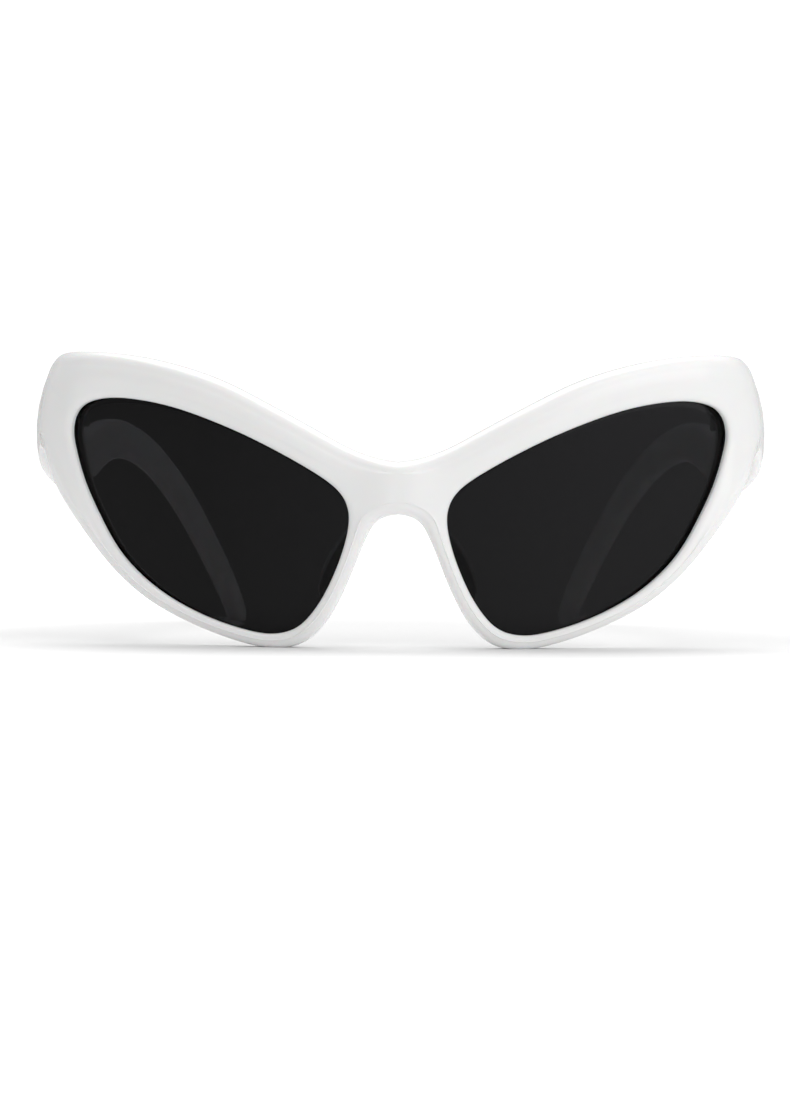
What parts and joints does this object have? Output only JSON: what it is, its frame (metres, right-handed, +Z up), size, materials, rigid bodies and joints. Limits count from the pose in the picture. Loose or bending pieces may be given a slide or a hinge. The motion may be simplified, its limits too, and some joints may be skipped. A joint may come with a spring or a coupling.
{
  "type": "cat eye sunglasses",
  "caption": "Wrapped cat eye sunglasses in glossy white plastic with dark tinted lenses and curved temples that fold on screwed hinges.",
  "frame": {"origin": "centre of the bounding box in X and Y, on the table that the rims and temple tips rest on", "axes": "+X to the wearer's left, the front faces -Y, the open temples run to +Y, +Z up"},
  "size_m": [0.1524, 0.1332, 0.0591],
  "materials": {
    "front_plastic": "polished white injection-moulded nylon",
    "temple_plastic": "polished white injection-moulded nylon",
    "pad_plastic": "satin white moulded nylon",
    "tinted_lens": "hard-coated dark grey tinted polycarbonate",
    "hinge_steel": "tumbled nickel silver",
    "screw_steel": "turned stainless steel",
    "core_wire": "drawn steel wire",
    "washer_nylon": "natural nylon"
  },
  "bodies": {
    "front": {"front_frame": "front_plastic", "lens_left": "tinted_lens", "nose_pad_left": "pad_plastic", "front_hinge_left": "hinge_steel", "hinge_screw_left": "screw_steel", "hinge_washer_lower_left": "washer_nylon", "hinge_washer_upper_left": "washer_nylon", "front_screw_lower_left": "screw_steel", "front_screw_upper_left": "screw_steel", "lens_right": "tinted_lens", "nose_pad_right": "pad_plastic", "front_hinge_right": "hinge_steel", "hinge_screw_right": "screw_steel", "hinge_washer_lower_right": "washer_nylon", "hinge_washer_upper_right": "washer_nylon", "front_screw_lower_right": "screw_steel", "front_screw_upper_right": "screw_steel"},
    "temple_left": {"temple_left": "temple_plastic", "temple_hinge_left": "hinge_steel", "temple_screw_lower_left": "screw_steel", "temple_screw_upper_left": "screw_steel", "core_wire_left": "core_wire"},
    "temple_right": {"temple_right": "temple_plastic", "temple_hinge_right": "hinge_steel", "temple_screw_lower_right": "screw_steel", "temple_screw_upper_right": "screw_steel", "core_wire_right": "core_wire"}
  },
  "joints": [
    {"name": "temple_left_fold", "type": "hinge", "parent": "front", "child": "temple_left", "pos_m": [0.067, -0.03492, 0.048], "axis": [0, 0, 1], "range_deg": [0, 82]},
    {"name": "temple_right_fold", "type": "hinge", "parent": "front", "child": "temple_right", "pos_m": [-0.067, -0.03492, 0.048], "axis": [0, 0, -1], "range_deg": [0, 74]}
  ]
}
